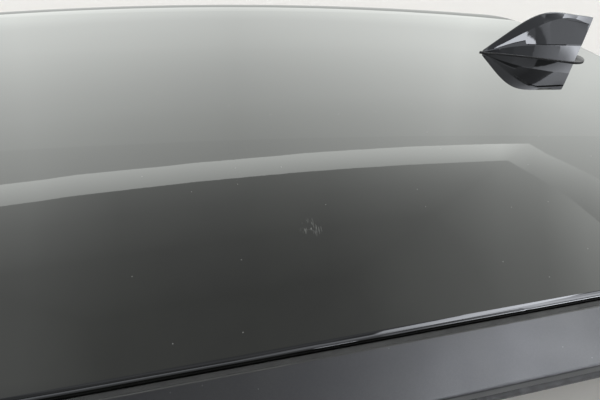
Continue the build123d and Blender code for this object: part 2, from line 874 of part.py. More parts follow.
def leaf_plate_centre():
    """Centre of the rear face of the moving leaf's plate."""
    centre = hinge_point()
    drop = hinge_plate + hinge_strap_bend + leaf_plate_height / 2
    return Vector(
        centre.X + hinge_strap_reach, centre.Y, centre.Z + hinge_barrel_radius - drop
    )


def make_hinge_leaf():
    """Moving leaf: a barrel on the pin, a cranked strap and an upright plate for the tailgate."""
    centre = hinge_point()
    plate = leaf_plate_centre()
    line = [
        (0, hinge_barrel_radius),
        (hinge_strap_reach, hinge_barrel_radius),
        (hinge_strap_reach, plate.Z - centre.Z),
    ]
    side_view = Plane(origin=centre, x_dir=(1, 0, 0), z_dir=(0, -1, 0))
    strap = extrude(
        side_view * sheet_face(line, [hinge_strap_bend + hinge_plate], -hinge_plate),
        hinge_leaf_width / 2,
        both=True,
    )
    foot = Box(hinge_plate, leaf_plate_width, leaf_plate_height)
    foot = fillet(foot.edges().filter_by(Axis.X), leaf_plate_corner)
    body = strap + Pos(plate - Vector(hinge_plate / 2, 0, 0)) * foot
    for side in (-1, 1):
        body = body - Pos(plate + Vector(0, side * leaf_bolt_spacing / 2, 0)) * Rot(
            0, 90, 0
        ) * Cylinder(leaf_bolt_radius, 4 * hinge_plate)
    body = body + pin_place() * Cylinder(hinge_barrel_radius, hinge_leaf_width)
    return body - pin_place() * Cylinder(hinge_pin_radius + hinge_running, hinge_base_width)


def make_tailgate_seal():
    """Tailgate seal, pushed on the rear flange of the gutter."""
    side = rail_inner_reach + 2 * seal_clearance
    wall = seal_clearance + seal_leg
    low = gutter_depth + wall
    high = gutter_depth - gutter_sheet - wall
    back = -gutter_floor - wall
    front = back + tailgate_seal_reach
    body = roof_band(prism(plan(0, back, side) - rear_disc(front)), high, low)
    hollow = plan(0, back + seal_leg, side - cut_margin) - rear_disc(front + cut_margin)
    slot = roof_band(prism(hollow), high + seal_leg, low - seal_leg)
    return body - slot


def build_parts():
    """Every piece of the roof by its name."""
    pillar_b = (pillar_b_x, pillar_b_length, pillar_b_width, pillar_b_direction)
    pillar_c = (pillar_c_x, pillar_c_length, pillar_c_width, pillar_c_direction)
    moulding = lofted(moulding_section, rail_front_x, rail_rear_x)
    front_seal = (rail_front_x + seal_front_start, pillar_b_x - seal_pillar_gap)
    rear_seal = (pillar_b_x + seal_pillar_gap, pillar_c_x - seal_rear_end)
    parts = {"roof_skin": make_skin()}
    parts.update(both_sides("side_rail_outer", make_outer_rail()))
    parts.update(both_sides("side_rail_inner", make_inner_rail()))
    parts.update(both_sides("ditch_moulding", moulding))
    parts.update(both_sides("pillar_a", make_pillar_a()))
    parts.update(both_sides("pillar_b", make_pillar(*pillar_b)))
    parts.update(both_sides("pillar_c", make_pillar(*pillar_c)))
    parts.update(both_sides("door_seal_front", lofted(seal_section, *front_seal, 3)))
    parts.update(both_sides("door_seal_rear", lofted(seal_section, *rear_seal, 3)))
    parts["front_header"] = make_front_header()
    parts["rear_header"] = make_rear_header()
    parts["rear_gutter"] = make_gutter()
    parts["tailgate_seal"] = make_tailgate_seal()
    for name, x in bow_places.items():
        parts["roof_bow_" + name] = make_bow(x)
        parts["mastic_" + name] = make_mastic(x)
    parts.update(both_sides("hinge_base", make_hinge_base()))
    parts.update(both_sides("hinge_pin", make_hinge_pin()))
    parts.update(both_sides("hinge_leaf", make_hinge_leaf()))
    parts["antenna_cover"] = make_cover()
    parts["antenna_gasket"] = make_gasket()
    parts["antenna_stud"] = make_stud()
    parts["antenna_nut"] = make_nut()
    return parts


def main():
    """Writes one file for each piece."""
    os.makedirs("parts", exist_ok=True)
    for name, shape in build_parts().items():
        export_step(shape, os.path.join("parts", name + ".step"))


main()
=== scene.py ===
import bpy
import json
import math
from mathutils import Matrix, Vector


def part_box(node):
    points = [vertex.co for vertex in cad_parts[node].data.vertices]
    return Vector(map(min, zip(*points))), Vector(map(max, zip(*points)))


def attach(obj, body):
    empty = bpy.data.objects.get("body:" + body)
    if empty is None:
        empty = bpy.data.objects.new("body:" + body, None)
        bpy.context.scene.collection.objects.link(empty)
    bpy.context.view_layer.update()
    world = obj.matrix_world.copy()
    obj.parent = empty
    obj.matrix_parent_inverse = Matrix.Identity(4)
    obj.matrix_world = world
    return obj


bl_info = {
    "name": "Crossover Roof Dresser",
    "version": (1, 1, 0),
    "blender": (4, 5, 0),
    "location": "3D View > Sidebar > Roof",
    "description": "Finishes the roof assembly of a compact crossover on its packed frame",
    "category": "Object",
}

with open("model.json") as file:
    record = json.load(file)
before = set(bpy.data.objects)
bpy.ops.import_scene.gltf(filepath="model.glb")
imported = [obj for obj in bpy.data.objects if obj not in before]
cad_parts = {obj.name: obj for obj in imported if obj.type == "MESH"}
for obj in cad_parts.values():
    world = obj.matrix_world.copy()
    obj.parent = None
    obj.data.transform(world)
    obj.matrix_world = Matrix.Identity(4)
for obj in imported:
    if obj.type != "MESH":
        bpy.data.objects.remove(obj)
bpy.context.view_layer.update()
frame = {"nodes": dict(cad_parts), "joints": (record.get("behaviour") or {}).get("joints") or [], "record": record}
NODES = frame["nodes"]
MILLIMETRE = 0.001
HINGES = {joint["child"]: Vector(joint["pos_m"]) for joint in frame["joints"]}


# Colours and material helpers


def srgb(code):
    """Linear colour of an sRGB hex value."""
    values = [int(code[place:place + 2], 16) / 255 for place in (1, 3, 5)]
    linear = [v / 12.92 if v <= 0.04045 else ((v + 0.055) / 1.055) ** 2.4 for v in values]
    return (*linear, 1.0)


def grey(level):
    """Plain grey of a linear level."""
    return (level, level, level, 1.0)


def feed(tree, node, inputs):
    """Sets a node's inputs to values, or links them to other nodes' sockets."""
    for name, value in inputs.items():
        socket = node.inputs[name]
        if isinstance(value, bpy.types.NodeSocket):
            tree.links.new(value, socket)
        else:
            socket.default_value = value


def add_node(tree, kind, inputs=None, stops=None, **settings):
    """A node with its settings, its colour stops where it has some, and its inputs."""
    node = tree.nodes.new(kind)
    for name, value in settings.items():
        setattr(node, name, value)
    feed(tree, node, inputs or {})
    if stops:
        elements = node.color_ramp.elements
        while len(elements) < len(stops):
            elements.new(1.0)
        for element, (position, colour) in zip(elements, stops):
            element.position = position
            element.color = colour
    return node


def new_material(name, **values):
    """A material with one Principled shader, whose sockets are set here."""
    material = bpy.data.materials.new(name)
    material.use_nodes = True
    tree = material.node_tree
    shader = tree.nodes["Principled BSDF"]
    feed(tree, shader, {socket.replace("_", " "): value for socket, value in values.items()})
    return material, tree, shader


def object_place(tree, stretch=(1, 1, 1), turn=(0, 0, 0), centre=(0, 0, 0)):
    """Object coordinates in metres from a centre, turned and stretched for a pattern."""
    place = add_node(tree, "ShaderNodeTexCoord").outputs["Object"]
    moved = add_node(tree, "ShaderNodeVectorMath", {0: place, 1: centre}, operation="SUBTRACT")
    mapping = add_node(tree, "ShaderNodeMapping", {
        "Vector": moved.outputs["Vector"], "Scale": stretch, "Rotation": turn})
    return mapping.outputs["Vector"]


def cloudy(tree, size, low, high, detail=4.0):
    """Soft clouds of a size between two colours, for dust films and uneven paint."""
    cloud = add_node(tree, "ShaderNodeTexNoise", {
        "Vector": object_place(tree), "Scale": 1 / size, "Detail": detail})
    return add_node(tree, "ShaderNodeValToRGB", {"Fac": cloud.outputs["Fac"]},
                    stops=[(0.32, low), (0.68, high)]).outputs["Color"]


def flecks(tree, spacing, radius, share):
    """Mask of small round flecks on level surfaces, in a share of the cells of a spacing."""
    place = object_place(tree)
    near = add_node(tree, "ShaderNodeTexVoronoi", {"Vector": place, "Scale": 1 / spacing},
                    voronoi_dimensions="2D")
    inside = add_node(tree, "ShaderNodeMath", {0: near.outputs["Distance"], 1: radius / spacing},
                      operation="LESS_THAN")
    chance = add_node(tree, "ShaderNodeSeparateColor", {"Color": near.outputs["Color"]})
    chosen = add_node(tree, "ShaderNodeMath", {0: chance.outputs["Red"], 1: share},
                      operation="LESS_THAN")
    return add_node(tree, "ShaderNodeMath", {0: inside.outputs[0], 1: chosen.outputs[0]},
                    operation="MULTIPLY").outputs[0]


def upper_side(tree):
    """Mask that is 1 on surfaces that face up and 0 on those that face down."""
    normal = add_node(tree, "ShaderNodeTexCoord").outputs["Normal"]
    parts = add_node(tree, "ShaderNodeSeparateXYZ", {0: normal})
    return add_node(tree, "ShaderNodeMath", {0: parts.outputs["Z"], 1: -0.2},
                    operation="GREATER_THAN").outputs[0]


def scuff(tree, centre, radius, turn):
    """Mask of fine scratches that run one way inside a small round patch."""
    lines = add_node(tree, "ShaderNodeTexNoise", {
        "Vector": object_place(tree, (1, 0.12, 1), (0, 0, turn), centre),
        "Scale": 1 / (1.6 * MILLIMETRE), "Detail": 2.0})
    thin = add_node(tree, "ShaderNodeMapRange", {
        "Value": lines.outputs["Fac"], "From Min": 0.52, "From Max": 0.75})
    away = add_node(tree, "ShaderNodeVectorMath", {0: object_place(tree, centre=centre)},
                    operation="LENGTH")
    ragged = add_node(tree, "ShaderNodeTexNoise", {
        "Vector": object_place(tree), "Scale": 1 / (7 * MILLIMETRE)})
    edge = add_node(tree, "ShaderNodeMath", {
        0: ragged.outputs["Fac"], 1: radius, 2: away.outputs["Value"]}, operation="MULTIPLY_ADD")
    patch = add_node(tree, "ShaderNodeMapRange", {
        "Value": edge.outputs[0], "From Min": 1.5 * radius, "From Max": 0.7 * radius})
    return add_node(tree, "ShaderNodeMath", {
        0: thin.outputs["Result"], 1: patch.outputs["Result"]}, operation="MULTIPLY").outputs[0]


# Finishes of the roof's slots


def gloss_black_paint():
    """Solid black body paint under clear coat: a mirror with a faint orange peel, and on it a
    film of dust, lone flecks and one small scuff. The underside has only satin primer."""
    material, tree, shader = new_material(
        "gloss_black_body_paint", Roughness=0.5, Specular_IOR_Level=0.0,
        Coat_Weight=1.0, Coat_Roughness=0.015, Coat_IOR=1.5)
    film = cloudy(tree, 90 * MILLIMETRE, srgb("#0a0a0a"), srgb("#151614"))
    dusty = add_node(tree, "ShaderNodeMixRGB", {
        "Fac": flecks(tree, 45 * MILLIMETRE, 0.5 * MILLIMETRE, 0.3),
        "Color1": film, "Color2": srgb("#6f716e")})
    scratched = add_node(tree, "ShaderNodeMixRGB", {
        "Fac": scuff(tree, (0.299, -0.426, 0.197), 11 * MILLIMETRE, 0.6),
        "Color1": dusty.outputs["Color"], "Color2": srgb("#8d8f8c")})
    upper = upper_side(tree)
    primer = cloudy(tree, 40 * MILLIMETRE, srgb("#3e413f"), srgb("#4a4d4a"))
    colour = add_node(tree, "ShaderNodeMixRGB", {
        "Fac": upper, "Color1": primer, "Color2": scratched.outputs["Color"]})
    peel = add_node(tree, "ShaderNodeTexNoise", {
        "Vector": object_place(tree), "Scale": 1 / (7 * MILLIMETRE), "Detail": 1.0})
    waves = add_node(tree, "ShaderNodeBump", {
        "Height": peel.outputs["Fac"], "Distance": 0.003 * MILLIMETRE})
    feed(tree, shader, {
        "Base Color": colour.outputs["Color"], "Coat Weight": upper,
        "Coat Normal": waves.outputs["Normal"]})
    return material


def grey_metallic_paint():
    """Metallic body paint under road film: wide soft highlights and a sparkle of flakes. The
    flakes are near 0.05 mm, and drawn 16 times coarser so that they show."""
    material, tree, shader = new_material(
        "grey_metallic_rail_paint", Metallic=0.85, IOR=1.5, Coat_Weight=0.2,
        Coat_Roughness=0.25)
    flakes = add_node(tree, "ShaderNodeTexVoronoi", {
        "Vector": object_place(tree), "Scale": 1 / (0.8 * MILLIMETRE)})
    shine = add_node(tree, "ShaderNodeSeparateColor", {"Color": flakes.outputs["Color"]})
    sparkle = add_node(tree, "ShaderNodeMapRange", {
        "Value": shine.outputs["Red"], "To Min": 0.95, "To Max": 1.05})
    film = cloudy(tree, 60 * MILLIMETRE, srgb("#343435"), srgb("#383838"), 5.0)
    lit = add_node(tree, "ShaderNodeVectorMath", {0: film, "Scale": sparkle.outputs["Result"]},
                   operation="SCALE")
    dusty = add_node(tree, "ShaderNodeMixRGB", {
        "Fac": flecks(tree, 20 * MILLIMETRE, 0.35 * MILLIMETRE, 0.25),
        "Color1": lit.outputs["Vector"], "Color2": srgb("#5c5d5c")})
    dull = cloudy(tree, 40 * MILLIMETRE, grey(0.4), grey(0.46))
    feed(tree, shader, {"Base Color": dusty.outputs["Color"], "Roughness": dull})
    return material


def grey_primer():
    """Electrodip primer on pressed steel: satin grey, a little mottled, with a fine peel
    and lone darker rubbed spots."""
    material, tree, shader = new_material("grey_dip_primer", IOR=1.5)
    tint = cloudy(tree, 35 * MILLIMETRE, srgb("#656963"), srgb("#757a73"), 6.0)
    rubbed = add_node(tree, "ShaderNodeMixRGB", {
        "Fac": flecks(tree, 16 * MILLIMETRE, 0.5 * MILLIMETRE, 0.3),
        "Color1": tint, "Color2": srgb("#50534f")})
    dull = cloudy(tree, 18 * MILLIMETRE, grey(0.38), grey(0.58))
    peel = add_node(tree, "ShaderNodeTexNoise", {
        "Vector": object_place(tree), "Scale": 1 / (2.5 * MILLIMETRE), "Detail": 2.0})
    waves = add_node(tree, "ShaderNodeBump", {
        "Height": peel.outputs["Fac"], "Distance": 0.03 * MILLIMETRE})
    feed(tree, shader, {
        "Base Color": rubbed.outputs["Color"], "Roughness": dull,
        "Normal": waves.outputs["Normal"]})
    return material


def black_rubber():
    """Extruded and moulded black rubber: matt, finely grained, greyed by dust."""
    material, tree, shader = new_material(
        "black_seal_rubber", IOR=1.52, Sheen_Weight=0.15, Sheen_Roughness=0.6)
    tint = cloudy(tree, 22 * MILLIMETRE, srgb("#131313"), srgb("#232322"), 5.0)
    dull = cloudy(tree, 9 * MILLIMETRE, grey(0.55), grey(0.75))
    grain = add_node(tree, "ShaderNodeTexNoise", {
        "Vector": object_place(tree), "Scale": 1 / (0.7 * MILLIMETRE), "Detail": 3.0})
    pits = add_node(tree, "ShaderNodeBump", {
        "Height": grain.outputs["Fac"], "Distance": 0.04 * MILLIMETRE})
    feed(tree, shader, {
        "Base Color": tint, "Roughness": dull, "Normal": pits.outputs["Normal"]})
    return material


def grey_mastic():
    """Foamed damping mastic, pumped on as a bead: dull, porous and slightly wavy."""
    material, tree, shader = new_material("grey_damping_mastic", IOR=1.45, Roughness=0.85)
    tint = cloudy(tree, 6 * MILLIMETRE, srgb("#7d7a72"), srgb("#96938a"), 6.0)
    pores = add_node(tree, "ShaderNodeTexVoronoi", {
        "Vector": object_place(tree), "Scale": 1 / (1.6 * MILLIMETRE)})
    pits = add_node(tree, "ShaderNodeBump", {
        "Height": pores.outputs["Distance"], "Distance": 0.25 * MILLIMETRE})
    feed(tree, shader, {"Base Color": tint, "Normal": pits.outputs["Normal"]})
    return material


def painted_forging():
    """Satin black dip paint over forged steel: an uneven skin that shows through the paint."""
    material, tree, shader = new_material("satin_black_hinge_paint", IOR=1.5)
    tint = cloudy(tree, 12 * MILLIMETRE, srgb("#1b1c1d"), srgb("#2a2b2c"), 5.0)
    dull = cloudy(tree, 5 * MILLIMETRE, grey(0.32), grey(0.5))
    scale = add_node(tree, "ShaderNodeTexNoise", {
        "Vector": object_place(tree), "Scale": 1 / (1.8 * MILLIMETRE), "Detail": 4.0})
    pits = add_node(tree, "ShaderNodeBump", {
        "Height": scale.outputs["Fac"], "Distance": 0.12 * MILLIMETRE})
    feed(tree, shader, {
        "Base Color": tint, "Roughness": dull, "Normal": pits.outputs["Normal"]})
    return material


def plated_steel():
    """Bright zinc plate, passivated: a soft metal shine that drifts from blue to yellow."""
    material, tree, shader = new_material("zinc_plated_steel", Metallic=1.0)
    tint = cloudy(tree, 7 * MILLIMETRE, srgb("#b4b8bd"), srgb("#c9c3a9"), 3.0)
    dull = cloudy(tree, 2 * MILLIMETRE, grey(0.24), grey(0.4))
    feed(tree, shader, {"Base Color": tint, "Roughness": dull})
    return material


def dark_gloss_cover():
    """Moulded cover in a dark body colour under clear coat, with a blue cast and a faint film
    of dust."""
    material, tree, shader = new_material(
        "dark_gloss_antenna_paint", Roughness=0.4, Specular_IOR_Level=0.0,
        Coat_Weight=1.0, Coat_Roughness=0.025, Coat_IOR=1.55)
    film = cloudy(tree, 30 * MILLIMETRE, srgb("#101214"), srgb("#17191b"))
    peel = add_node(tree, "ShaderNodeTexNoise", {
        "Vector": object_place(tree), "Scale": 1 / (4 * MILLIMETRE), "Detail": 1.0})
    waves = add_node(tree, "ShaderNodeBump", {
        "Height": peel.outputs["Fac"], "Distance": 0.003 * MILLIMETRE})
    feed(tree, shader, {"Base Color": film, "Coat Normal": waves.outputs["Normal"]})
    return material


def threaded_steel():
    """Zinc-plated metric thread: the zinc plate with rings of a 1.5 mm pitch round the stud."""
    material = plated_steel()
    material.name = "zinc_plated_thread"
    tree = material.node_tree
    # At a scale of 1 the texture's waves are this long
    wave_length = math.tau / 20
    rings = add_node(tree, "ShaderNodeTexWave", {
        "Vector": object_place(tree), "Scale": wave_length / (1.5 * MILLIMETRE)},
        bands_direction="Z", wave_profile="TRI")
    ridges = add_node(tree, "ShaderNodeBump", {
        "Height": rings.outputs["Fac"], "Distance": 0.9 * MILLIMETRE})
    feed(tree, tree.nodes["Principled BSDF"], {"Normal": ridges.outputs["Normal"]})
    return material


FINISHES = {
    "gloss_black_paint": gloss_black_paint,
    "grey_metallic_paint": grey_metallic_paint,
    "grey_primer": grey_primer,
    "black_rubber": black_rubber,
    "grey_mastic": grey_mastic,
    "painted_forging": painted_forging,
    "plated_steel": plated_steel,
    "dark_gloss_cover": dark_gloss_cover,
}


class RoofSettings(bpy.types.PropertyGroup):
    """Sizes and colours that a user would change."""

    bolt_across: bpy.props.FloatProperty(
        name="Bolt hexagon", description="Width across the flats of a hinge bolt's head",
        default=10 * MILLIMETRE, unit="LENGTH")
    bolt_height: bpy.props.FloatProperty(
        name="Bolt head", description="Height of the hexagon above its flange",
        default=5 * MILLIMETRE, unit="LENGTH")
    bolt_flange: bpy.props.FloatProperty(
        name="Bolt flange", description="Radius of the flange under the hexagon",
        default=6.2 * MILLIMETRE, unit="LENGTH")
    weld_radius: bpy.props.FloatProperty(
        name="Spot weld", description="Radius of a spot weld's dished print",
        default=3.2 * MILLIMETRE, unit="LENGTH")
    camera_place: bpy.props.FloatVectorProperty(
        name="Camera place", description="Where the camera stands",
        default=(0.249, -0.7495, 0.459), subtype="TRANSLATION", unit="LENGTH")
    camera_yaw: bpy.props.FloatProperty(
        name="Camera turn", description="Turn of the view from straight across to the rear",
        default=math.radians(6.99), subtype="ANGLE")
    camera_pitch: bpy.props.FloatProperty(
        name="Camera tilt", description="Tilt of the view below the horizon",
        default=math.radians(35.37), subtype="ANGLE")
    camera_lens: bpy.props.FloatProperty(
        name="Lens", description="Focal length for a 36 mm sensor",
        default=27.86, unit="CAMERA")
    floor_colour: bpy.props.FloatVectorProperty(
        name="Floor", description="Colour of the floor", size=4, subtype="COLOR",
        default=srgb("#f2f0ec"))


# Modelling helpers


def start_piece(name, primitive, **sizes):
    """Adds a primitive with nothing else selected and names it."""
    if bpy.context.mode != "OBJECT":
        bpy.ops.object.mode_set(mode="OBJECT")
    bpy.ops.object.select_all(action="DESELECT")
    primitive(**sizes)
    piece = bpy.context.object
    piece.name = name
    piece.data.name = name
    return piece


def choose_faces(piece, wanted):
    """Selects the faces that a test accepts, and leaves the piece in edit mode."""
    bpy.ops.object.mode_set(mode="EDIT")
    bpy.ops.mesh.select_mode(type="FACE")
    bpy.ops.mesh.select_all(action="DESELECT")
    bpy.ops.object.mode_set(mode="OBJECT")
    for face in piece.data.polygons:
        face.select = wanted(face)
    bpy.ops.object.mode_set(mode="EDIT")


def finish_piece(piece, body, material):
    """Smooths a piece's shading, applies its place and fastens it to its body and slot."""
    if bpy.context.mode != "OBJECT":
        bpy.ops.object.mode_set(mode="OBJECT")
    bpy.ops.object.select_all(action="DESELECT")
    piece.select_set(True)
    bpy.context.view_layer.objects.active = piece
    bpy.ops.object.shade_smooth_by_angle(angle=math.radians(35))
    bpy.ops.object.transform_apply(location=True, rotation=True, scale=True)
    piece.data.materials.clear()
    piece.data.materials.append(material)
    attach(piece, body)


def copies_at(model, name, places):
    """One joined piece made of copies of a model, each at its own place and turn."""
    made = []
    for number, place in enumerate(places):
        copy = bpy.data.objects.new(f"{name}_{number}", model.data.copy())
        bpy.context.scene.collection.objects.link(copy)
        copy.matrix_world = place
        made.append(copy)
    bpy.ops.object.select_all(action="DESELECT")
    for copy in made:
        copy.select_set(True)
    bpy.context.view_layer.objects.active = made[0]
    bpy.ops.object.transform_apply(location=True, rotation=True, scale=True)
    if len(made) > 1:
        bpy.ops.object.join()
    piece = bpy.context.object
    piece.name = name
    piece.data.name = name
    return piece


def on_surface(node, origin, direction, depth):
    """Place where a ray meets a node, sunk a little and with its Z out of the surface."""
    found, point, normal, face = NODES[node].ray_cast(Vector(origin), Vector(direction))
    if not found:
        return None
    turn = normal.to_track_quat("Z", "Y").to_matrix().to_4x4()
    return Matrix.Translation(point - depth * normal) @ turn


class ROOF_OT_finishes(bpy.types.Operator):
    """Gives every node of the frame its finish"""

    bl_idname = "roof.finishes"
    bl_label = "Finishes"

    def execute(self, context):
        made = {}
        for part in frame["record"]["subparts"]:
            slot = part["material_slot"]
            if slot not in made:
                made[slot] = FINISHES[slot]()
            data = NODES[part["node"]].data
            data.materials.clear()
            data.materials.append(made[slot])
        NODES["antenna_stud"].data.materials[0] = threaded_steel()
        return {"FINISHED"}


class ROOF_OT_hinge_bolts(bpy.types.Operator):
    """Models one flanged bolt and sets two on each hinge base"""

    bl_idname = "roof.hinge_bolts"
    bl_label = "Hinge bolts"

    # Place of a bolt on the hinge base, measured from the pin's axis
    ear_gap = 0.4 * MILLIMETRE
    barrel_radius = 6.5 * MILLIMETRE
    ahead = 13 * MILLIMETRE
    aside = 24.4 * MILLIMETRE
    sunk = 0.05 * MILLIMETRE
    # Flange and head of a bolt
    flange_height = 1.4 * MILLIMETRE
    flange_rounding = 0.5 * MILLIMETRE
    head_chamfer = 0.6 * MILLIMETRE
    head_rim = 0.9 * MILLIMETRE
    head_dish = 0.4 * MILLIMETRE

    def execute(self, context):
        settings = context.scene.roof_settings
        head = self.bolt(settings)
        for body, centre in HINGES.items():
            side = body.replace("leaf_", "")
            top = centre.z - self.barrel_radius - self.ear_gap - self.sunk
            places = [
                Matrix.Translation((centre.x - self.ahead, centre.y + way * self.aside, top))
                for way in (-1, 1)
            ]
            bolts = copies_at(head, f"hinge_bolts_{side}", places)
            finish_piece(bolts, "roof", bpy.data.materials["zinc_plated_steel"])
        bpy.data.objects.remove(head)
        return {"FINISHED"}

    def bolt(self, settings):
        """Hexagon head with chamfered corners and a dished top on a domed round flange."""
        flange = start_piece(
            "bolt_model", bpy.ops.mesh.primitive_cylinder_add, vertices=48,
            radius=settings.bolt_flange, depth=self.flange_height,
            location=(0, 0, self.flange_height / 2))
        choose_faces(flange, lambda face: face.normal.z > 0.9)
        bpy.ops.mesh.bevel(offset=self.flange_rounding, segments=3)
        bpy.ops.object.mode_set(mode="OBJECT")
        corner = settings.bolt_across / math.sqrt(3)
        height = settings.bolt_height
        hexagon = start_piece(
            "bolt_hexagon", bpy.ops.mesh.primitive_cylinder_add, vertices=6, radius=corner,
            depth=height, location=(0, 0, self.flange_height + height / 2 - self.sunk))
        choose_faces(hexagon, lambda face: face.normal.z > 0.9)
        bpy.ops.mesh.bevel(offset=self.head_chamfer, segments=3)
        bpy.ops.object.mode_set(mode="OBJECT")
        choose_faces(hexagon, lambda face: face.normal.z > 0.99 and face.area > corner ** 2)
        bpy.ops.mesh.inset(thickness=self.head_rim)
        bpy.ops.mesh.inset(thickness=self.head_dish, depth=-self.head_dish)
        bpy.ops.object.mode_set(mode="OBJECT")
        bpy.ops.object.select_all(action="DESELECT")
        hexagon.select_set(True)
        flange.select_set(True)
        bpy.context.view_layer.objects.active = flange
        bpy.ops.object.join()
        return flange


class ROOF_OT_spot_welds(bpy.types.Operator):
    """Prints spot welds along the flanges that are welded together"""

    bl_idname = "roof.spot_welds"
    bl_label = "Spot welds"

    # Print of one weld
    print_height = 0.3 * MILLIMETRE
    print_rim = 0.5 * MILLIMETRE
    print_slope = 0.9 * MILLIMETRE
    print_dish = 0.12 * MILLIMETRE
    sunk = 0.12 * MILLIMETRE
    # Rows: from a bow's middle and inwards from its end, and along the gutter
    bow_run = 28.47 * MILLIMETRE
    bow_reach = (16 * MILLIMETRE, 30 * MILLIMETRE)
    gutter_step = 55 * MILLIMETRE
    gutter_count = 8

    def execute(self, context):
        model = self.weld(context.scene.roof_settings)
        primer = bpy.data.materials["grey_dip_primer"]
        for name, places in self.rows().items():
            found = [place for place in places if place is not None]
            welds = copies_at(model, f"spot_welds_{name}", found)
            finish_piece(welds, "roof", primer)
        bpy.data.objects.remove(model)
        return {"FINISHED"}

    def weld(self, settings):
        """Shallow dished print inside a flat rim."""
        disc = start_piece(
            "weld_model", bpy.ops.mesh.primitive_cylinder_add, vertices=20,
            radius=settings.weld_radius, depth=self.print_height,
            location=(0, 0, self.print_height / 2))
        choose_faces(disc, lambda face: face.normal.z > 0.9)
        bpy.ops.mesh.inset(thickness=self.print_rim)
        bpy.ops.mesh.inset(thickness=self.print_slope, depth=-self.print_dish)
        bpy.ops.object.mode_set(mode="OBJECT")
        return disc

    def rows(self):
        """Places of the welds, found on the nodes from below."""
        up = (0, 0, 1)
        rows = {}
        for bow in ("front", "centre", "rear"):
            low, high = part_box(f"roof_bow_{bow}")
            middle = (low.x + high.x) / 2
            rows[f"bow_{bow}"] = [
                on_surface(f"side_rail_inner_{side}", (middle + run, y, 0), up, self.sunk)
                for side, edge in (("left", low.y), ("right", high.y))
                for y in (edge - math.copysign(reach, edge) for reach in self.bow_reach)
                for run in (-self.bow_run, self.bow_run)
            ]
        low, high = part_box("rear_gutter")
        seal_line = (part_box("rear_header")[1].x + low.x) / 2
        rows["gutter"] = [
            on_surface("rear_gutter", (seal_line, step * self.gutter_step, 0), up, self.sunk)
            for step in range(-self.gutter_count, self.gutter_count + 1)
        ]
        return rows


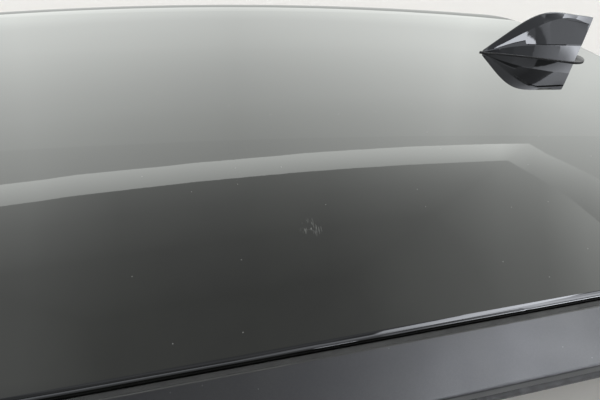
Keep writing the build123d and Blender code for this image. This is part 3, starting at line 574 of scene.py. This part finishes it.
class ROOF_OT_stage(bpy.types.Operator):
    """Adds the floor, the studio's light and the camera"""

    bl_idname = "roof.stage"
    bl_label = "Stage"

    # Light panels ahead of the camera that gloss mirrors: direction, and how near each is
    panels = (
        ((-0.182, 0.983, 0.0), 1.0),
        ((0.985, 0.174, 0.0), 0.76),
        ((-0.974, -0.225, 0.0), 0.9),
    )
    # Reach of a direction that meets none of them
    least_reach = 0.02
    # The light that gloss mirrors comes in bands, one above the other. Each row holds the
    # height that a band starts at, pairs of height and brightness upwards, and pairs of
    # place, from the left (-1) to the right (1), and factor sideways. Ahead, a height is
    # counted as a share of the distance, and behind, as the sine of its angle.
    ahead_limits = (0.0, 4.0)
    ahead_tint = (0.97, 1.0, 0.965)
    ahead_bands = (
        (-100.0, ((0.0, 0.65), (1.0, 0.65)), ((-1.0, 1.0), (1.0, 1.0))),
        (-0.02, ((0.0, 1.35), (0.16, 1.5), (0.27, 1.9), (0.36, 2.15), (0.54, 2.6), (0.9, 3.0)),
         ((-0.9, 0.6), (-0.4, 1.15), (0.0, 1.0), (0.46, 1.2), (0.55, 1.06), (0.68, 1.08))),
        (0.905, ((0.905, 4.9), (1.098, 3.8)),
         ((-0.9, 0.7), (-0.4, 1.15), (0.55, 1.08), (0.6, 0.82), (0.68, 0.72))),
        (1.098, ((1.098, 1.3), (1.4, 1.1), (2.0, 0.85), (4.0, 0.66)),
         ((-0.8, 1.5), (-0.41, 1.75), (-0.25, 1.3), (0.03, 1.2), (0.21, 1.4), (0.36, 1.8),
          (0.55, 2.25), (0.62, 2.15), (0.68, 2.6))),
    )
    behind_limits = (-1.0, 1.0)
    behind_tint = (0.95, 0.985, 1.06)
    behind_bands = (
        (-2.0, ((-1.0, 0.5), (-0.2, 0.5), (-0.105, 0.3)), ((-1.0, 1.0), (1.0, 1.0))),
        (-0.105, ((-0.105, 1.0), (-0.03, 1.0)),
         ((0.255, 0.6), (0.26, 11.0), (0.345, 11.0), (0.35, 1.1), (0.4, 1.1), (0.41, 1.9),
          (0.48, 3.0), (0.55, 8.0), (0.7, 18.0), (0.8, 18.0), (0.84, 1.0))),
        (-0.03, ((-0.03, 1.0), (0.02, 1.0)),
         ((0.3, 0.55), (0.4, 0.8), (0.41, 1.8), (0.48, 2.4), (0.55, 8.0), (0.7, 18.0),
          (0.8, 18.0), (0.84, 1.0))),
        (0.02, ((0.02, 0.85), (0.21, 0.95)),
         ((0.3, 0.8), (0.4, 1.0), (0.41, 2.2), (0.65, 2.1), (0.8, 1.0))),
        (0.21, ((0.21, 1.3), (0.515, 2.5)),
         ((0.3, 1.0), (0.36, 0.95), (0.43, 0.5), (0.53, 0.6), (0.64, 1.5), (0.67, 4.0),
          (0.78, 3.6), (0.82, 0.6))),
        (0.515, ((0.515, 2.6), (0.69, 2.2)),
         ((0.05, 0.12), (0.24, 1.0), (0.33, 1.25), (0.39, 1.8), (0.45, 2.7), (0.5, 4.2),
          (0.65, 3.6), (0.75, 1.6), (0.9, 0.6))),
        (0.69, ((0.69, 1.0), (0.85, 1.0)),
         ((0.35, 0.5), (0.36, 6.0), (0.5, 9.0), (0.68, 14.0), (0.69, 1.5))),
        (0.85, ((0.85, 0.9), (1.0, 0.4)), ((-1.0, 1.0), (1.0, 1.0))),
    )
    soft_level = 0.9
    backdrop = (0.87, 0.86, 0.84, 1.0)
    # Level part of a direction, over which the light behind turns into the light ahead
    turning = (-0.12, 0.02)

    def execute(self, context):
        settings = context.scene.roof_settings
        self.floor(settings)
        self.studio(context)
        camera_data = bpy.data.cameras.new("camera")
        camera_data.sensor_width = 36
        camera_data.lens = settings.camera_lens
        camera_data.clip_start = 0.01
        camera = bpy.data.objects.new("camera", camera_data)
        context.scene.collection.objects.link(camera)
        camera.location = settings.camera_place
        camera.rotation_euler = (
            math.pi / 2 - settings.camera_pitch, 0, -settings.camera_yaw)
        context.scene.camera = camera
        context.scene.view_settings.view_transform = "Standard"
        return {"FINISHED"}

    def floor(self, settings):
        """Pale floor that is clear from below. Gloss mirrors the lowest bands instead."""
        floor = start_piece("floor", bpy.ops.mesh.primitive_plane_add, size=30)
        material, tree, shader = new_material(
            "pale_floor", Base_Color=settings.floor_colour, Roughness=0.8)
        below = add_node(tree, "ShaderNodeNewGeometry").outputs["Backfacing"]
        clear = add_node(tree, "ShaderNodeBsdfTransparent")
        seen = add_node(tree, "ShaderNodeMixShader", {
            0: below, 1: shader.outputs["BSDF"], 2: clear.outputs["BSDF"]})
        feed(tree, tree.nodes["Material Output"], {"Surface": seen.outputs["Shader"]})
        floor.data.materials.append(material)
        floor.visible_glossy = False

    def panel_reach(self, tree, direction):
        """How far a ray goes towards the panel that it meets, for each metre of its length."""
        reach = self.least_reach
        for normal, nearness in self.panels:
            towards = add_node(tree, "ShaderNodeVectorMath", {
                0: direction, 1: [part * nearness for part in normal]},
                operation="DOT_PRODUCT")
            reach = add_node(tree, "ShaderNodeMath", {
                0: towards.outputs["Value"], 1: reach}, operation="MAXIMUM").outputs[0]
        return reach

    def levels(self, tree, value, limits, stops):
        """Brightness along a value. Its limits and stops are in the value's own units."""
        low, high = limits
        share = add_node(tree, "ShaderNodeMapRange", {
            "Value": value, "From Min": low, "From Max": high})
        placed = [((place - low) / (high - low), grey(level)) for place, level in stops]
        ramp = add_node(tree, "ShaderNodeValToRGB", {"Fac": share.outputs["Result"]}, placed)
        return ramp.outputs["Color"]

    def banded(self, tree, height, limits, across, bands, tint):
        """Tinted light of the bands that lie above one another."""
        light = grey(0.0)
        for first, upwards, sideways in bands:
            band = add_node(tree, "ShaderNodeVectorMath", {
                0: self.levels(tree, height, limits, upwards),
                1: self.levels(tree, across, (-1.0, 1.0), sideways)}, operation="MULTIPLY")
            above = add_node(tree, "ShaderNodeMath", {0: height, 1: first},
                             operation="GREATER_THAN")
            light = add_node(tree, "ShaderNodeMixRGB", {
                "Fac": above.outputs[0], "Color1": light,
                "Color2": band.outputs["Vector"]}).outputs["Color"]
        return add_node(tree, "ShaderNodeVectorMath", {0: light, 1: tint},
                        operation="MULTIPLY").outputs["Vector"]

    def studio(self, context):
        """World: plain for the camera and for soft light, and banded for what gloss mirrors."""
        world = bpy.data.worlds.new("studio")
        context.scene.world = world
        world.use_nodes = True
        tree = world.node_tree
        tree.nodes.clear()
        direction = add_node(tree, "ShaderNodeTexCoord").outputs["Generated"]
        parts = add_node(tree, "ShaderNodeSeparateXYZ", {0: direction})
        rise, across = parts.outputs["Z"], parts.outputs["X"]
        steepness = add_node(tree, "ShaderNodeMath", {
            0: rise, 1: self.panel_reach(tree, direction)}, operation="DIVIDE").outputs[0]
        ahead = self.banded(tree, steepness, self.ahead_limits, across, self.ahead_bands,
                            self.ahead_tint)
        behind = self.banded(tree, rise, self.behind_limits, across, self.behind_bands,
                             self.behind_tint)
        facing = add_node(tree, "ShaderNodeMapRange", {
            "Value": parts.outputs["Y"], "From Min": self.turning[0],
            "From Max": self.turning[1]})
        mirrored = add_node(tree, "ShaderNodeMixRGB", {
            "Fac": facing.outputs["Result"], "Color1": behind, "Color2": ahead})
        rays = add_node(tree, "ShaderNodeLightPath")
        soft = add_node(tree, "ShaderNodeBackground", {
            "Color": grey(1.0), "Strength": self.soft_level})
        plain = add_node(tree, "ShaderNodeBackground", {"Color": self.backdrop, "Strength": 1.0})
        bands = add_node(tree, "ShaderNodeBackground", {
            "Color": mirrored.outputs["Color"], "Strength": 1.0})
        gloss = add_node(tree, "ShaderNodeMixShader", {
            0: rays.outputs["Is Glossy Ray"], 1: soft.outputs[0], 2: bands.outputs[0]})
        seen = add_node(tree, "ShaderNodeMixShader", {
            0: rays.outputs["Is Camera Ray"], 1: gloss.outputs[0], 2: plain.outputs[0]})
        add_node(tree, "ShaderNodeOutputWorld", {"Surface": seen.outputs[0]})


class ROOF_PT_panel(bpy.types.Panel):
    """Shows the buttons of the steps and the settings in the sidebar"""

    bl_idname = "ROOF_PT_panel"
    bl_label = "Roof"
    bl_space_type = "VIEW_3D"
    bl_region_type = "UI"
    bl_category = "Roof"

    def draw(self, context):
        for operator in OPERATORS:
            self.layout.operator(operator.bl_idname)
        for name in RoofSettings.__annotations__:
            self.layout.prop(context.scene.roof_settings, name)


OPERATORS = (ROOF_OT_finishes, ROOF_OT_hinge_bolts, ROOF_OT_spot_welds, ROOF_OT_stage)
CLASSES = (RoofSettings, *OPERATORS, ROOF_PT_panel)


def register():
    for item in CLASSES:
        bpy.utils.register_class(item)
    bpy.types.Scene.roof_settings = bpy.props.PointerProperty(type=RoofSettings)


def unregister():
    del bpy.types.Scene.roof_settings
    for item in reversed(CLASSES):
        bpy.utils.unregister_class(item)


def main():
    register()
    bpy.ops.roof.finishes()
    bpy.ops.roof.hinge_bolts()
    bpy.ops.roof.spot_welds()
    bpy.ops.roof.stage()


if __name__ == "__main__":
    main()
